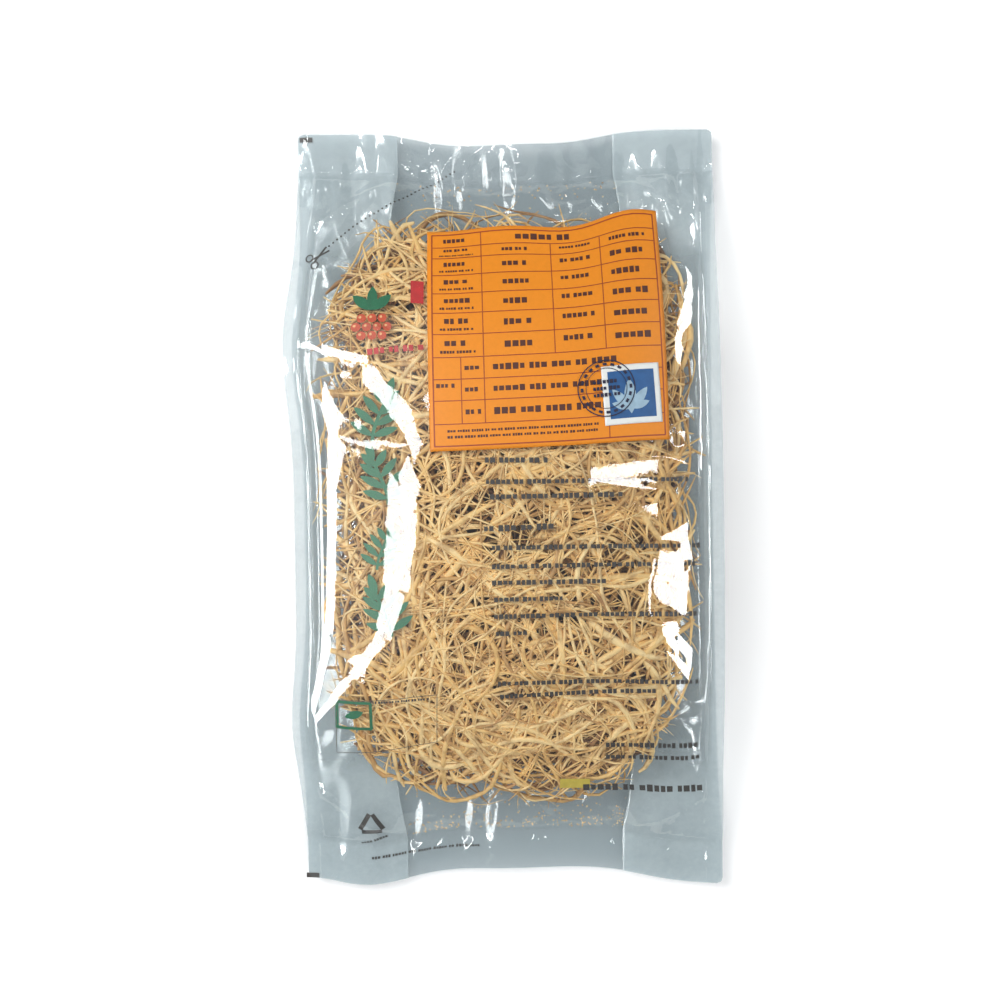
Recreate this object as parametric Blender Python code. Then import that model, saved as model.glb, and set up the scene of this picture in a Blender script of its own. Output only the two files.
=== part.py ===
"""A clear side-gusset bag packed with dried ginseng fine roots, lying on its back.

X runs across the bag, +Y towards its top seal and +Z up from the surface it lies on.
The origin is on that surface, under the middle of the bag. Sizes are in metres.

A point of the bag is named by x, across it, and s, the distance along the flat bag
from its middle. The seams at the two ends are drawn in where the bag is fullest,
which place() works out.
"""

import math
import random

import bmesh
import bpy
import numpy as np

# The bag as it is made, lying flat
BAG_WIDTH = 0.200
BAG_LENGTH = 0.365
SIDE_SEAL = 0.007
END_SEAL = 0.020
GUSSET_DEPTH = 0.048
FILM = 0.0003
PLY = 0.0006

# The bag as it is filled
EDGE_RISE = 0.032
CROWN_RISE = 0.028
GUSSET_OPENED = 0.011
GUSSET_PINCH = 0.10
FLAT_HALF_LENGTH = 0.118
FLAT_HALF_WIDTH = 0.068
END_LIFT = 0.006
EDGE_LIFT = 0.003
END_WAVE = 0.0014

# How deep, where and how wide the ends are drawn in, and the corner that turns up
TOP_DIP = (0.0062, 0.0, 0.046)
BOTTOM_DIP = (0.0090, 0.006, 0.062)
CORNER_DIP = (0.0060, -0.100, 0.022)

# The paper label and the inspection stamp on it
LABEL_SIZE = (0.108, 0.110)
LABEL_CENTRE = (0.0165, 0.0825)
LABEL_TURN = math.radians(2.0)
LABEL_GAP = 0.0008
STAMP_SIZE = (0.0265, 0.0270)
STAMP_CENTRE = (0.0548, 0.0515)
STAMP_TURN = math.radians(3.0)

# The roots
ROOT_MASS_LENGTH = 0.278
ROOT_MASS_WIDTH = 0.179
CORE_INSET = 0.0062
CORE_BASE_INSET = 0.0037
CORE_WIDTH = 0.166
FILM_CLEARANCE = 0.0015
GUSSET_CLEARANCE = 0.0030
NOTCH_CLEARANCE = 0.0060
STRAY_LENGTH = 0.010
ROOT_RADIUS = (0.0012, 0.0024)
ROOT_LENGTH = (0.055, 0.125)
ROOT_STEP = 0.0120
ROOT_TIP = 0.55
ROOT_SIDES = 4
SIDE_ROOT_STEPS = 8
TOP_ROOTS, BOTTOM_ROOTS, SIDE_ROOTS = 62, 12, 3
SEED = 14

HALF_WIDTH = BAG_WIDTH / 2
HALF_LENGTH = BAG_LENGTH / 2
SEAM_X = HALF_WIDTH - SIDE_SEAL
SEAM_S = HALF_LENGTH - END_SEAL
FLAT_CREASE_X = HALF_WIDTH - GUSSET_DEPTH
GUSSET_STATIONS = np.array([0.0, 0.16, 0.38, 0.66, 1.0])


def smooth(low, high, value):
    """0 below low, 1 above high, and a smooth step between."""
    t = np.clip((value - low) / (high - low), 0.0, 1.0)
    return t * t * (3 - 2 * t)


def edge_fullness(s):
    """How open the gussets are: 1 in the middle of the bag, 0 from each end seal outwards."""
    return 1 - np.clip(np.abs(s) / SEAM_S, 0.0, 1.0) ** 2.6


def dome(x, s):
    """How far the roots push the front out past its side seams, from 0 to 1."""
    along = 1 - np.clip(np.abs(s) / SEAM_S, 0.0, 1.0) ** 3
    across = 1 - np.clip(np.abs(x) / SEAM_X, 0.0, 1.0) ** 2.4
    return along**0.85 * across**0.8


def dip(x, shape, power):
    """A smooth hollow of a given depth, middle and half width, flatter for a high power."""
    depth, middle, half_width = shape
    return depth * np.exp(-(np.abs((x - middle) / half_width) ** power))


def drawn_in(x, s):
    """How far the end nearest to s is pulled towards the middle of the bag."""
    bottom = dip(x, BOTTOM_DIP, 4) + dip(x, CORNER_DIP, 2)
    return np.where(s > 0, dip(x, TOP_DIP, 4), bottom)


def back_height(x, s):
    """Middle of the back panel's film: flat on the surface, lifting at its rim."""
    at_end = smooth(FLAT_HALF_LENGTH, SEAM_S, np.abs(s))
    wave = np.sin(58 * x + 1.1) + 0.6 * np.sin(97 * x + np.where(s > 0, 0.4, 2.3))
    at_side = smooth(FLAT_HALF_WIDTH, HALF_WIDTH, np.abs(x)) * edge_fullness(s)
    return FILM / 2 + at_end * (END_LIFT + END_WAVE * wave) + EDGE_LIFT * at_side


def front_height(x, s):
    """Middle of the front panel's film: raised by the gussets and domed by the roots."""
    return back_height(x, s) + 3 * PLY + EDGE_RISE * edge_fullness(s) + CROWN_RISE * dome(x, s)


def crease_x(s):
    """How far from the bag's centre line the inner fold of each gusset lies."""
    return FLAT_CREASE_X + GUSSET_OPENED * edge_fullness(s)


def gusset_height(x, s, upper):
    """Middle of a gusset's upper or lower leaf, from its seam in to its crease."""
    bottom = PLY
    top = 2 * PLY + EDGE_RISE * edge_fullness(s)
    fold = (top + bottom) / 2 + (PLY / 2 if upper else -PLY / 2)
    seam = top if upper else bottom
    inwards = np.clip((SEAM_X - np.abs(x)) / (SEAM_X - crease_x(s)), 0.0, 1.0)
    pinch = GUSSET_PINCH * np.sin(np.pi * inwards) * (top - bottom - PLY)
    return back_height(x, s) + seam + (fold - seam) * inwards + (-pinch if upper else pinch)


def place(x, s, z):
    """The point at height z, with the bag's length drawn in as far as it is at x."""
    return np.stack(np.broadcast_arrays(x, s * (1 - drawn_in(x, s) / HALF_LENGTH), z), -1)


def stations():
    """Distances along the bag at which every film panel has a row of points."""
    filled = SEAM_S * np.sin(np.linspace(-np.pi / 2, np.pi / 2, 17) * 0.92) / math.sin(0.46 * np.pi)
    sealed = np.linspace(SEAM_S, HALF_LENGTH, 3)[1:]
    return np.concatenate([-sealed[::-1], filled, sealed])


def columns():
    """Distances across the bag at which the front and back panels have points."""
    over_gusset = SEAM_X - GUSSET_STATIONS * (SEAM_X - FLAT_CREASE_X)
    middle = np.linspace(FLAT_CREASE_X, 0.0, 5)[1:-1]
    right = np.concatenate([[HALF_WIDTH], over_gusset, middle])
    return np.concatenate([-right, [0.0], right[::-1]])


def material(name, colour, roughness, alpha=1.0):
    made = bpy.data.materials.new(name)
    made.use_nodes = True
    shader = made.node_tree.nodes["Principled BSDF"]
    shader.inputs["Base Color"].default_value = (*colour, 1.0)
    shader.inputs["Roughness"].default_value = roughness
    shader.inputs["Metallic"].default_value = 0.0
    shader.inputs["Alpha"].default_value = alpha
    return made


def mesh_object(name, points, faces, finish):
    mesh = bpy.data.meshes.new(name)
    mesh.from_pydata([tuple(map(float, p)) for p in points], [], faces)
    mesh.validate()
    made = bpy.data.objects.new(name, mesh)
    bpy.context.scene.collection.objects.link(made)
    if finish:
        mesh.materials.append(finish)
    return made


def sheet(name, grid, finish):
    """A closed sheet, as thick as the film, through a grid of points, rows by columns."""
    rows, across = grid.shape[:2]
    faces = [
        (j * across + i, j * across + i + 1, (j + 1) * across + i + 1, (j + 1) * across + i)
        for j in range(rows - 1)
        for i in range(across - 1)
    ]
    made = mesh_object(name, grid.reshape(-1, 3), faces, finish)
    wall = made.modifiers.new("wall", "SOLIDIFY")
    wall.thickness = FILM
    wall.offset = 0.0
    wall.use_even_offset = True
    made.data.shade_smooth()
    return made


def film_panels(film):
    """The front and back panels and the two gussets, each a film of its own."""
    x, s = np.meshgrid(columns(), stations())
    sheet("film_front", place(x, s, front_height(x, s)), film)
    sheet("film_back", place(x, s, back_height(x, s)), film)
    for name, side in (("gusset_left", -1), ("gusset_right", 1)):
        sheet(name, gusset_grid(side), film)


def gusset_grid(side):
    """One gusset's rows of points: upper fin, upper leaf, crease, lower leaf, lower fin."""
    rows = []
    for s in stations():
        x = SEAM_X - GUSSET_STATIONS * (SEAM_X - crease_x(s))
        x = side * np.concatenate([[HALF_WIDTH], x])
        upper = gusset_height(x, s, True)
        lower = gusset_height(x, s, False)
        upper[0] = front_height(x[0], s) - PLY
        lower[0] = back_height(x[0], s) + PLY
        rows.append(place(np.concatenate([x, x[::-1]]), s, np.concatenate([upper, lower[::-1]])))
    grid = np.array(rows)
    return grid if side > 0 else grid[:, ::-1]


def on_front(x, s, height):
    """Points at a height above the front film, along its own normal."""
    step = 1e-4
    at = place(x, s, front_height(x, s))
    along_x = place(x + step, s, front_height(x + step, s)) - at
    along_s = place(x, s + step, front_height(x, s + step)) - at
    normal = np.cross(along_x, along_s)
    return at + height * normal / np.linalg.norm(normal, axis=-1, keepdims=True)


def sticker(name, size, centre, turn, height, cells, finish):
    """A paper rectangle that follows the front film at a height above it."""
    u, v = np.meshgrid(*(np.linspace(-h / 2, h / 2, n + 1) for h, n in zip(size, cells)))
    x = centre[0] + u * math.cos(turn) - v * math.sin(turn)
    s = centre[1] + u * math.sin(turn) + v * math.cos(turn)
    return sheet(name, on_front(x, s, height), finish)


def loft_faces(rings, sides):
    """The faces of a closed tube of rings, with the two ends capped."""
    faces = []
    for low in range(0, (rings - 1) * sides, sides):
        for i in range(sides):
            j = (i + 1) % sides
            faces.append((low + i, low + j, low + sides + j, low + sides + i))
    last = (rings - 1) * sides
    return faces + [tuple(range(sides))[::-1], tuple(range(last, last + sides))]


def mass_half_width(s):
    """Half the width of the bed of roots, which is rounded off at its two ends."""
    t = np.clip(np.abs(s) / (ROOT_MASS_LENGTH / 2 + 0.002), 0.0, 1.0)
    return ROOT_MASS_WIDTH / 2 * (1 - t**5) ** 0.4


def root_core(finish):
    """The dense middle of the tangle, which every root in the node grows out of."""
    half = ROOT_MASS_LENGTH / 2 - CORE_INSET
    rows = []
    for t in np.linspace(-1, 1, 17):
        s = half * math.sin(t * math.pi / 2)
        blunt = max(0.35, (1 - abs(s / half) ** 5) ** 0.5)
        width = min(mass_half_width(s) - CORE_INSET, CORE_WIDTH / 2) * blunt
        rows.append(core_ring(width, s, blunt))
    return mesh_object("root_tangle", np.concatenate(rows), loft_faces(len(rows), len(rows[0])), finish)


def core_ring(width, s, blunt):
    """One section of the core, round its top, its right notch, its base and its left notch."""
    notch = float(crease_x(s)) - NOTCH_CLEARANCE
    if width < notch + 0.016:
        width = notch = min(width, notch)
    x = width * np.sin(np.linspace(-np.pi / 2, np.pi / 2, 9))
    top = front_height(x, s) - FILM_CLEARANCE - CORE_INSET
    base = back_height(x, s) + FILM_CLEARANCE + CORE_BASE_INSET
    middle = (top + base) / 2
    top = middle + (top - middle) * blunt
    base = middle + (base - middle) * blunt
    if width > notch:
        upper = min(gusset_height(width, s, True) + GUSSET_CLEARANCE, top[-1] - 0.0008)
        lower = max(gusset_height(width, s, False) - GUSSET_CLEARANCE, base[-1] + 0.0008)
    else:
        upper = (middle[-1] + top[-1]) / 2
        lower = (middle[-1] + base[-1]) / 2
    level = (gusset_height(notch, s, True) + gusset_height(notch, s, False)) / 2
    side_x = np.array([width * 0.995, notch * 0.99, width * 0.995])
    side_z = np.array([upper, level, lower])
    ring_x = np.concatenate([x, side_x, x[::-1], -side_x])
    ring_z = np.concatenate([top, side_z, base[::-1], side_z[::-1]])
    return place(ring_x, s, ring_z)


def wander(rng, start, heading, length):
    """Steps of x and s that curve gently and turn back inside the bed of roots."""
    x, s = start
    far = ROOT_MASS_LENGTH / 2 + STRAY_LENGTH
    bend = rng.uniform(-9, 9)
    sway, phase = rng.uniform(2, 14), rng.uniform(0, 2 * math.pi)
    steps = [(x, s)]
    for n in range(max(4, round(length / ROOT_STEP))):
        heading += ROOT_STEP * (bend + sway * math.sin(n * 0.9 + phase))
        reach = math.hypot(x / (ROOT_MASS_WIDTH / 2), s / far)
        if reach > 0.78:
            turn = (math.atan2(-s, -x) - heading + math.pi) % (2 * math.pi) - math.pi
            heading += turn * min(0.5, (reach - 0.78) * 1.6)
        limit = root_limit(s)
        x = min(max(x + ROOT_STEP * math.cos(heading), -limit), limit)
        s = min(max(s + ROOT_STEP * math.sin(heading), -far), far)
        steps.append((x, s))
    return steps


def root_limit(s):
    """How far across the bag a root may lie: less near the ends, where the gussets close."""
    bed = mass_half_width(min(abs(s), ROOT_MASS_LENGTH / 2 - 0.004))
    return float(min(bed, SEAM_X - 0.008 - 0.030 * smooth(0.09, 0.14, abs(s))))


def tube(name, path, radius):
    """A closed tube of few sides through the path's points, thinner towards its tip."""
    points = np.array(path)
    along = np.gradient(points, axis=0)
    along /= np.linalg.norm(along, axis=1, keepdims=True)
    side = np.cross(along, (0.0, 0.0, 1.0))
    side /= np.linalg.norm(side, axis=1, keepdims=True)
    down = np.cross(along, side)
    turns = 2 * np.pi * (np.arange(ROOT_SIDES) + 0.5) / ROOT_SIDES
    radii = radius * np.linspace(1.0, ROOT_TIP, len(points))
    rings = [
        points[n] + radii[n] * (math.cos(a) * side[n] + math.sin(a) * down[n])
        for n in range(len(points))
        for a in turns
    ]
    return mesh_object(name, rings, loft_faces(len(points), ROOT_SIDES), None)


def surface_root(rng, on_top):
    """The path of a root that weaves in and out of the tangle's top or base."""
    radius = rng.uniform(*ROOT_RADIUS)
    x = rng.uniform(-0.45, 0.45) * ROOT_MASS_WIDTH
    s = rng.uniform(-0.485, 0.485) * ROOT_MASS_LENGTH
    plan = wander(rng, (x, s), rng.uniform(0, 2 * math.pi), rng.uniform(*ROOT_LENGTH))
    beat, phase = rng.uniform(0.5, 1.1), rng.uniform(0, 2 * math.pi)
    away = FILM_CLEARANCE + radius
    path = []
    for n, (x, s) in enumerate(plan):
        depth = max(0.0, CORE_INSET * (0.38 - 0.5 * math.sin(n * beat + phase)))
        over_gusset = abs(x) > crease_x(s) - NOTCH_CLEARANCE
        z = front_height(x, s) - away - depth if on_top else back_height(x, s) + away + depth * 0.8
        if over_gusset and on_top:
            z = max(z, gusset_height(x, s, True) + 1.4 * away)
        elif over_gusset:
            z = min(z, gusset_height(x, s, False) - 1.4 * away)
        path.append(place(x, s, z))
    return path, radius


def side_root(rng, side):
    """The path of a root along one gusset, inside its leaves and up or down over the fold."""
    radius = rng.uniform(*ROOT_RADIUS) * 0.85
    outermost = SEAM_X - 0.012
    s = rng.uniform(-0.10, 0.04)
    level, climb = rng.uniform(-0.9, 0.9), rng.uniform(-0.26, 0.26)
    path = []
    for _ in range(SIDE_ROOT_STEPS):
        upper = level > 0
        x = float(crease_x(s)) + abs(level) * (outermost - float(crease_x(s)))
        rise = (radius + 0.0022) * (1 if upper else -1)
        z = gusset_height(side * x, s, upper) + rise
        path.append(place(side * (x - 0.0028 - radius), s, z))
        s += ROOT_STEP
        level = min(max(level + climb, -0.96), 0.96)
    return path, radius


def keep_largest_piece(made):
    """Drop the roots that joined nothing, so the mesh is one closed body."""
    edit = bmesh.new()
    edit.from_mesh(made.data)
    unseen = set(edit.verts)
    pieces = []
    while unseen:
        piece, frontier = set(), [unseen.pop()]
        while frontier:
            corner = frontier.pop()
            piece.add(corner)
            frontier += [v for e in corner.link_edges for v in e.verts if v in unseen]
            unseen.difference_update(frontier)
        pieces.append(piece)
    pieces.sort(key=len)
    bmesh.ops.delete(edit, geom=[v for piece in pieces[:-1] for v in piece], context="VERTS")
    edit.to_mesh(made.data)
    edit.free()
    print(f"{made.name}: {len(pieces) - 1} loose roots dropped")


def root_tangle(finish):
    """Seeded roots woven over a core and fused with it into one solid."""
    rng = random.Random(SEED)
    core = root_core(finish)
    bundle = bpy.data.collections.new("roots")
    bpy.context.scene.collection.children.link(bundle)
    paths = [surface_root(rng, True) for _ in range(TOP_ROOTS)]
    paths += [surface_root(rng, False) for _ in range(BOTTOM_ROOTS)]
    paths += [side_root(rng, side) for side in (-1, 1) for _ in range(SIDE_ROOTS)]
    for n, (path, radius) in enumerate(paths):
        root = tube(f"root_{n:03d}", path, radius)
        bpy.context.scene.collection.objects.unlink(root)
        bundle.objects.link(root)
    join = core.modifiers.new("join", "BOOLEAN")
    join.operation = "UNION"
    join.operand_type = "COLLECTION"
    join.collection = bundle
    join.solver = "MANIFOLD"
    bpy.context.view_layer.objects.active = core
    bpy.ops.object.modifier_apply(modifier=join.name)
    for root in list(bundle.objects):
        bpy.data.objects.remove(root)
    bpy.data.collections.remove(bundle)
    keep_largest_piece(core)
    core.data.shade_smooth()
    core.data.set_sharp_from_angle(angle=math.radians(60))


def main():
    for old in list(bpy.data.objects):
        bpy.data.objects.remove(old)
    film_panels(material("clear_film", (0.74, 0.79, 0.83), 0.12, 0.3))
    root_tangle(material("dried_root", (0.72, 0.50, 0.27), 0.75))
    orange = material("orange_paper", (0.95, 0.30, 0.03), 0.5)
    blue = material("blue_stamp", (0.10, 0.25, 0.55), 0.5)
    sticker("label", LABEL_SIZE, LABEL_CENTRE, LABEL_TURN, LABEL_GAP, (12, 12), orange)
    over_label = LABEL_GAP + PLY
    sticker("inspection_stamp", STAMP_SIZE, STAMP_CENTRE, STAMP_TURN, over_label, (3, 3), blue)


main()
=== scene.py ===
# %% [markdown]
# # A clear bag packed with dried ginseng fine roots
#
# The bag lies on its back, seen from straight above. Four films are welded into a bag
# with a fold, the gusset, down each side: a front, a back and two gusset films. It is
# packed with a springy tangle of thin dried roots, and has an orange paper label with
# a small blue stamp on it. This lesson builds the films first, because everything else
# lies in them or on them, then the roots, the paper, the printing and the studio.

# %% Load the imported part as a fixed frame
import math

import bmesh
import bpy
import numpy as np
from mathutils import Matrix, Vector


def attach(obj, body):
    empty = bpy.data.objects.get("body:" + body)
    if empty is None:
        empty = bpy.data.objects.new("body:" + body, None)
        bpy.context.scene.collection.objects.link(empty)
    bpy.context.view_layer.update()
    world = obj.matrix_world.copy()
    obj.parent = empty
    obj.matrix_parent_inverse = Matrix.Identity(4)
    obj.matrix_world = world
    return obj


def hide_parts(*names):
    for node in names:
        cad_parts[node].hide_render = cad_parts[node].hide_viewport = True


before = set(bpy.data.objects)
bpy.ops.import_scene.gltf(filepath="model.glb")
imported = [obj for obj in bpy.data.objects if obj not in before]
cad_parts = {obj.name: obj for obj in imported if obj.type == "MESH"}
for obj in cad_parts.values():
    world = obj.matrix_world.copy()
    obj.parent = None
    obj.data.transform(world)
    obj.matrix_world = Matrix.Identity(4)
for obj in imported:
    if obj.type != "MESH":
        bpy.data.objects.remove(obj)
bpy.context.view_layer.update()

# %% [markdown]
# ## The shape of a filled bag
#
# A filled bag could be blown up by a cloth simulation, but its corners would then lie
# somewhere else than in the part. Here the part's own formulas are used again: a point
# of the bag is named by x, across it, and s, along the flat bag. The gussets open where
# the bag is full, the roots push the front into a dome, and both fade out at the seals.
# Only wrinkles and the soft side seams leave those formulas, by a few millimetres.

# %% The bag's sizes
BAG_WIDTH = 0.200
BAG_LENGTH = 0.365
SIDE_SEAL = 0.007
END_SEAL = 0.020
GUSSET_DEPTH = 0.048
FILM = 0.0003
PLY = 0.0006
EDGE_RISE = 0.032
CROWN_RISE = 0.028
GUSSET_OPENED = 0.011
GUSSET_PINCH = 0.10
FLAT_HALF_LENGTH = 0.118
FLAT_HALF_WIDTH = 0.068
END_LIFT = 0.006
EDGE_LIFT = 0.003
END_WAVE = 0.0014
TOP_DIP = (0.0062, 0.0, 0.046)
BOTTOM_DIP = (0.0090, 0.006, 0.062)
CORNER_DIP = (0.0060, -0.100, 0.022)
LEFT_BULGES = ((0.0052, 0.078, 0.036), (0.0042, -0.106, 0.032))
RIGHT_DRAWN_IN = 0.0015

HALF_WIDTH = BAG_WIDTH / 2
HALF_LENGTH = BAG_LENGTH / 2
SEAM_X = HALF_WIDTH - SIDE_SEAL
SEAM_S = HALF_LENGTH - END_SEAL
FLAT_CREASE_X = HALF_WIDTH - GUSSET_DEPTH


# %% How full the bag is at each place
def smooth(low, high, value):
    """0 below low, 1 above high, and a smooth step between."""
    t = np.clip((value - low) / (high - low), 0.0, 1.0)
    return t * t * (3 - 2 * t)


def edge_fullness(s):
    """How open the gussets are: 1 in the middle of the bag, 0 from each end seal outwards."""
    return 1 - np.clip(np.abs(s) / SEAM_S, 0.0, 1.0) ** 2.6


def dome(x, s):
    """How far the roots push the front out past its side seams, from 0 to 1."""
    along = 1 - np.clip(np.abs(s) / SEAM_S, 0.0, 1.0) ** 3
    across = 1 - np.clip(np.abs(x) / SEAM_X, 0.0, 1.0) ** 2.4
    return along**0.85 * across**0.8


def dip(x, shape, power):
    """A smooth hollow of a given depth, middle and half width, flatter for a high power."""
    depth, middle, half_width = shape
    return depth * np.exp(-(np.abs((x - middle) / half_width) ** power))


def drawn_in(x, s):
    """How far the end nearest to s is pulled towards the middle of the bag."""
    bottom = dip(x, BOTTOM_DIP, 4) + dip(x, CORNER_DIP, 2)
    return np.where(s > 0, dip(x, TOP_DIP, 4), bottom)


def swelling(x, s):
    """How far the soft side seams move in x: the left one bulges twice, the right one is drawn in."""
    left = -sum(out * np.exp(-(((s - middle) / reach) ** 2)) for out, middle, reach in LEFT_BULGES)
    right = -RIGHT_DRAWN_IN * edge_fullness(s)
    return np.where(x < 0, left, right) * smooth(0.060, HALF_WIDTH, np.abs(x))


def place(x, s, z):
    """The point at height z, with the bag's ends drawn in and its sides moved."""
    y = s * (1 - drawn_in(x, s) / HALF_LENGTH)
    return np.stack(np.broadcast_arrays(x + swelling(x, s), y, z), -1)


# %% How high each film lies
def back_height(x, s):
    """Middle of the back panel's film: flat on the surface, lifting at its rim."""
    at_end = smooth(FLAT_HALF_LENGTH, SEAM_S, np.abs(s))
    wave = np.sin(58 * x + 1.1) + 0.6 * np.sin(97 * x + np.where(s > 0, 0.4, 2.3))
    at_side = smooth(FLAT_HALF_WIDTH, HALF_WIDTH, np.abs(x)) * edge_fullness(s)
    return FILM / 2 + at_end * (END_LIFT + END_WAVE * wave) + EDGE_LIFT * at_side


def front_height(x, s):
    """Middle of the front panel's film: raised by the gussets and domed by the roots."""
    return back_height(x, s) + 3 * PLY + EDGE_RISE * edge_fullness(s) + CROWN_RISE * dome(x, s)


def crease_x(s):
    """How far from the bag's centre line the inner fold of each gusset lies."""
    return FLAT_CREASE_X + GUSSET_OPENED * edge_fullness(s)


def gusset_height(x, s, leaf):
    """Height of a gusset's upper leaf for leaf 1, its lower one for -1, and between at 0."""
    opening = EDGE_RISE * edge_fullness(s)
    inwards = np.clip((SEAM_X - np.abs(x)) / (SEAM_X - crease_x(s)), 0.0, 1.0)
    half_gap = (PLY + opening * (1 - inwards)) / 2
    half_gap = half_gap - GUSSET_PINCH * np.sin(np.pi * inwards) * opening
    return back_height(x, s) + 1.5 * PLY + opening / 2 + leaf * half_gap


spot = (0.03, 0.02)
top_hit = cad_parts["film_front"].ray_cast(Vector((*spot, 0.2)), Vector((0, 0, -1)))
print("the part's front film is", round(top_hit[1].z, 4), "m high at", spot)
print("the formula puts it at", round(float(front_height(*spot)), 4))

# %% [markdown]
# ## Wrinkles
#
# Thin film has two kinds of wrinkle. Near a seal, where four flat plies have to widen
# into a full bag, ripples run out of the seal and die away, and all the plies share
# them. Slack film crumples into flat facets between sharp ridges. A ripple is a sine.
# A crumple is the highest of several triangle waves in seeded directions, which gives
# facets, where adding the waves up would only give bumps.

# %% Ripples and crumples
rng = np.random.default_rng(7)
LABEL_SIZE = (0.108, 0.110)
LABEL_CENTRE = (0.0165, 0.0825)
LABEL_TURN = math.radians(2.0)
RIPPLES_AT = 0.158


def ripples(x, s):
    """Height that every ply shares near the end seals."""
    near_seal = np.exp(-(((np.abs(s) - RIPPLES_AT) / 0.017) ** 2))
    end = np.where(s > 0, 0.0, 1.7)
    drift = 0.5 * np.sin(34 * s + end) + 0.6 * np.sin(21 * x + end)
    wide = np.sin(2 * np.pi * x / 0.034 + drift + end)
    narrow = np.sin(2 * np.pi * x / 0.0125 + 2.4 * drift + 2 * end)
    return near_seal * (0.0009 * wide + 0.00042 * narrow)


def crumple(x, s, count, longest, steepness, seed):
    """Facets of one steepness between ridges, with a wave no longer than longest."""
    chance = np.random.default_rng(seed)
    height = np.zeros(np.broadcast(x, s).shape)
    for _ in range(count):
        wavelength = longest * chance.uniform(0.45, 1.0)
        angle, phase = chance.uniform(0, np.pi), chance.uniform(0, 1)
        along = x * np.cos(angle) + s * np.sin(angle)
        sideways = s * np.cos(angle) - x * np.sin(angle)
        wave = along / wavelength + phase + 0.3 * np.sin(sideways / wavelength + 6 * phase)
        triangle = np.abs(2 * (wave - np.floor(wave)) - 1)
        patch = smooth(-0.4, 0.7, np.sin(sideways / wavelength * 1.3 + 9 * phase))
        height = np.maximum(height, steepness * wavelength / 2 * triangle * patch)
    return height


def fold_line(x, s, start, end, height, width):
    """A straight soft ridge between two points of the bag."""
    run = np.array(end) - np.array(start)
    length = np.hypot(*run)
    t = ((x - start[0]) * run[0] + (s - start[1]) * run[1]) / length**2
    off = ((x - start[0]) * run[1] - (s - start[1]) * run[0]) / length
    inside = smooth(-0.1, 0.15, t) * (1 - smooth(0.8, 1.15, t))
    return height * inside * np.exp(-((off / width) ** 2))


def beside_label(x, s):
    """0 under the label, which holds the film flat, and 1 from a few millimetres off it."""
    along, off = x - LABEL_CENTRE[0], s - LABEL_CENTRE[1]
    u = along * math.cos(LABEL_TURN) + off * math.sin(LABEL_TURN)
    v = off * math.cos(LABEL_TURN) - along * math.sin(LABEL_TURN)
    outside = np.maximum(np.abs(u) - LABEL_SIZE[0] / 2, np.abs(v) - LABEL_SIZE[1] / 2)
    return smooth(0.0, 0.007, outside)


# %% The front panel with all its wrinkles
SLACK_ENDS, SLACK_RIGHT = (0.118, 0.150), (0.040, 0.075)
BETWEEN_GUSSETS = (0.046, 0.052)
CORNER_FOLD_START = (0.057, 0.158)
CORNER_FOLD_ENDS = ((0.092, 0.136, 0.0025), (0.084, 0.112, 0.0035))
CORNER_FOLD_HEIGHT = 0.0012
PLEAT = 0.0042
BEAD_WIDTH = 0.0011


def front_surface(x, s):
    """The front film's height: slack at its ends, less so on its right, and taut elsewhere."""
    between_ends = 1 - smooth(SEAM_S - 0.003, SEAM_S + 0.001, np.abs(s))
    in_bag = between_ends * (1 - smooth(SEAM_X - 0.003, SEAM_X, np.abs(x)))
    slack = np.maximum(smooth(*SLACK_ENDS, np.abs(s)), 0.20 * smooth(*SLACK_RIGHT, x))
    facets = crumple(x, s, count=9, longest=0.042, steepness=0.13, seed=3)
    folds = facets * (0.03 + 0.97 * slack) * in_bag
    for side in (-1, 1):
        for far in (-1, 1):
            start = (side * CORNER_FOLD_START[0], far * CORNER_FOLD_START[1])
            for end_x, end_s, width in CORNER_FOLD_ENDS:
                end = (side * end_x, far * end_s)
                folds = folds + fold_line(x, s, start, end, CORNER_FOLD_HEIGHT, width) * in_bag
    between_gussets = 1 - smooth(*BETWEEN_GUSSETS, np.abs(x))
    lower_right = 0.6 * smooth(0.056, 0.062, x) * smooth(0.150, 0.160, -s)
    welded = smooth(0.150, 0.156, np.abs(s)) * np.maximum(between_gussets, lower_right)
    welded = welded * (1 - 0.6 * smooth(0.168, 0.176, np.abs(s)))
    small_facets = crumple(x, s, count=7, longest=0.015, steepness=0.24, seed=8)
    folds = folds + small_facets * welded
    corner = smooth(0.072, 0.080, np.abs(x)) * (1 - smooth(0.090, 0.094, np.abs(x)))
    corner = corner * smooth(0.138, 0.146, np.abs(s)) * (1 - smooth(0.156, 0.161, np.abs(s)))
    folds = folds + 0.00022 * corner * np.sin(2 * np.pi * x / PLEAT)
    bead = 0.00035 * np.exp(-(((np.abs(s) - SEAM_S) / BEAD_WIDTH) ** 2))
    side_bead = 0.00030 * np.exp(-(((np.abs(x) - SEAM_X) / BEAD_WIDTH) ** 2))
    return front_height(x, s) + (ripples(x, s) + folds) * beside_label(x, s) + bead + side_bead


# %% [markdown]
# ## The films
#
# Film is made flat, and so is each one here: a grid, whose corners are then moved to
# their places in the filled bag. Real film is a tenth of a millimetre thick, so a single
# surface shows all that can be seen of it, where a wall would only double the mesh.

# %% A grid that is moved into its place
def deselect_all():
    for other in bpy.context.selected_objects:
        other.select_set(False)


def add_object(name, data):
    added = bpy.data.objects.new(name, data)
    bpy.context.scene.collection.objects.link(added)
    return added


def edit_all(operator, **options):
    """Runs a mesh operator on the whole of the active piece."""
    bpy.ops.object.mode_set(mode="EDIT")
    bpy.ops.mesh.select_all(action="SELECT")
    operator(**options)
    bpy.ops.object.mode_set(mode="OBJECT")


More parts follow.
